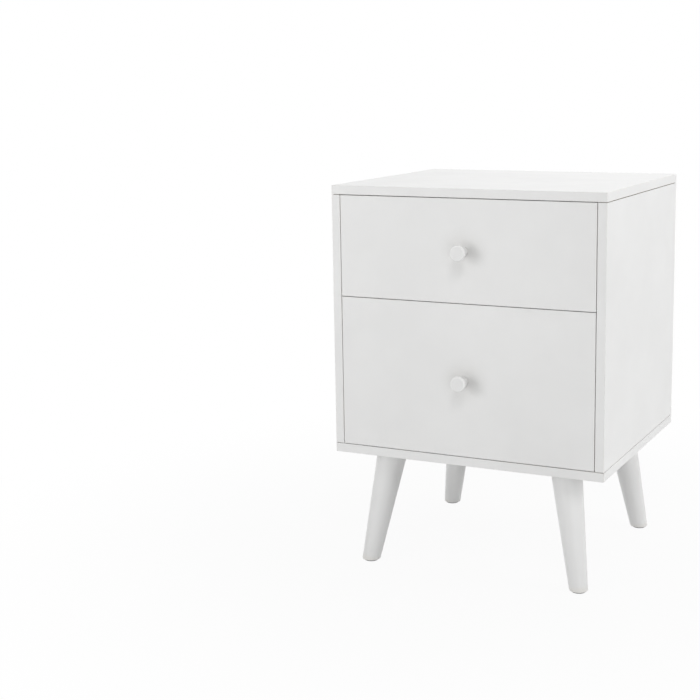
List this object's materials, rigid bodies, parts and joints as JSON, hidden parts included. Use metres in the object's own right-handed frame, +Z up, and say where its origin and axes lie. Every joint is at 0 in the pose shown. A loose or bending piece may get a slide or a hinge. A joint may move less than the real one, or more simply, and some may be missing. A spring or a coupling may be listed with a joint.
{
  "type": "nightstand with drawers",
  "caption": "White bedside table: square case with two inset drawers, round knobs, and round tapered legs that splay outwards.",
  "frame": {"origin": "on the floor, under the middle of the overall box, knobs included", "axes": "+X to the right of someone who faces the drawers, +Y from the drawer fronts to the back, +Z up"},
  "size_m": [0.4, 0.373, 0.55],
  "materials": {
    "white_board": "fibreboard under smooth satin white lacquer",
    "drawer_board": "melamine-faced chipboard, matt white",
    "white_hardboard": "thin hardboard, white-lacquered face",
    "leg_lacquer": "turned wood under satin white lacquer",
    "knob_lacquer": "turned wood under satin white lacquer",
    "beech": "plain fluted beech",
    "rail_steel": "roll-formed steel, bright zinc",
    "cage_steel": "pressed steel cage with hardened balls, oiled",
    "cast_zinc": "die-cast zinc",
    "plated_steel": "zinc-plated screws and bolts",
    "brass": "turned brass",
    "glide_plastic": "grey nylon glide"
  },
  "bodies": {
    "cabinet": {"top_panel": "white_board", "bottom_panel": "white_board", "left_side_panel": "white_board", "right_side_panel": "white_board", "back_panel": "white_hardboard", "case_dowels": "beech", "case_cam_bolts": "plated_steel", "case_cam_locks": "cast_zinc", "front_left_leg": "leg_lacquer", "front_right_leg": "leg_lacquer", "back_left_leg": "leg_lacquer", "back_right_leg": "leg_lacquer", "leg_bolts": "plated_steel", "leg_bolt_washers": "plated_steel", "leg_inserts": "brass", "leg_pegs": "beech", "foot_glides": "glide_plastic", "case_rail_screws": "plated_steel", "upper_left_case_rail": "rail_steel", "upper_right_case_rail": "rail_steel", "lower_left_case_rail": "rail_steel", "lower_right_case_rail": "rail_steel"},
    "upper_drawer": {"upper_drawer_front": "white_board", "upper_drawer_left_side": "drawer_board", "upper_drawer_right_side": "drawer_board", "upper_drawer_back": "drawer_board", "upper_drawer_bottom": "white_hardboard", "upper_drawer_cam_bolts": "plated_steel", "upper_drawer_cam_locks": "cast_zinc", "upper_drawer_back_screws": "plated_steel", "upper_knob": "knob_lacquer", "upper_knob_screw": "plated_steel", "upper_knob_insert": "brass", "upper_left_drawer_rail": "rail_steel", "upper_right_drawer_rail": "rail_steel", "upper_drawer_rail_screws": "plated_steel"},
    "upper_middle_rails": {"upper_left_middle_rail": "rail_steel", "upper_right_middle_rail": "rail_steel"},
    "upper_outer_cages": {"upper_outer_ball_cages": "cage_steel"},
    "upper_inner_cages": {"upper_inner_ball_cages": "cage_steel"},
    "lower_drawer": {"lower_drawer_front": "white_board", "lower_drawer_left_side": "drawer_board", "lower_drawer_right_side": "drawer_board", "lower_drawer_back": "drawer_board", "lower_drawer_bottom": "white_hardboard", "lower_drawer_cam_bolts": "plated_steel", "lower_drawer_cam_locks": "cast_zinc", "lower_drawer_back_screws": "plated_steel", "lower_knob": "knob_lacquer", "lower_knob_screw": "plated_steel", "lower_knob_insert": "brass", "lower_left_drawer_rail": "rail_steel", "lower_right_drawer_rail": "rail_steel", "lower_drawer_rail_screws": "plated_steel"},
    "lower_middle_rails": {"lower_left_middle_rail": "rail_steel", "lower_right_middle_rail": "rail_steel"},
    "lower_outer_cages": {"lower_outer_ball_cages": "cage_steel"},
    "lower_inner_cages": {"lower_inner_ball_cages": "cage_steel"}
  },
  "joints": [
    {"name": "upper_drawer_slide", "type": "slide", "parent": "cabinet", "child": "upper_drawer", "axis": [0, -1, 0], "range_m": [0, 0.28]},
    {"name": "upper_middle_rails_slide", "type": "slide", "parent": "cabinet", "child": "upper_middle_rails", "axis": [0, -1, 0], "range_m": [0, 0.14]},
    {"name": "upper_outer_cages_slide", "type": "slide", "parent": "cabinet", "child": "upper_outer_cages", "axis": [0, -1, 0], "range_m": [0, 0.07]},
    {"name": "upper_inner_cages_slide", "type": "slide", "parent": "cabinet", "child": "upper_inner_cages", "axis": [0, -1, 0], "range_m": [0, 0.2101]},
    {"name": "lower_drawer_slide", "type": "slide", "parent": "cabinet", "child": "lower_drawer", "axis": [0, -1, 0], "range_m": [0, 0.28]},
    {"name": "lower_middle_rails_slide", "type": "slide", "parent": "cabinet", "child": "lower_middle_rails", "axis": [0, -1, 0], "range_m": [0, 0.14]},
    {"name": "lower_outer_cages_slide", "type": "slide", "parent": "cabinet", "child": "lower_outer_cages", "axis": [0, -1, 0], "range_m": [0, 0.07]},
    {"name": "lower_inner_cages_slide", "type": "slide", "parent": "cabinet", "child": "lower_inner_cages", "axis": [0, -1, 0], "range_m": [0, 0.2101]}
  ],
  "couplings": [
    {"joint": "upper_middle_rails_slide", "follows": "upper_drawer_slide", "ratio": 0.5},
    {"joint": "upper_outer_cages_slide", "follows": "upper_drawer_slide", "ratio": 0.25},
    {"joint": "upper_inner_cages_slide", "follows": "upper_drawer_slide", "ratio": 0.75},
    {"joint": "lower_middle_rails_slide", "follows": "lower_drawer_slide", "ratio": 0.5},
    {"joint": "lower_outer_cages_slide", "follows": "lower_drawer_slide", "ratio": 0.25},
    {"joint": "lower_inner_cages_slide", "follows": "lower_drawer_slide", "ratio": 0.75}
  ]
}
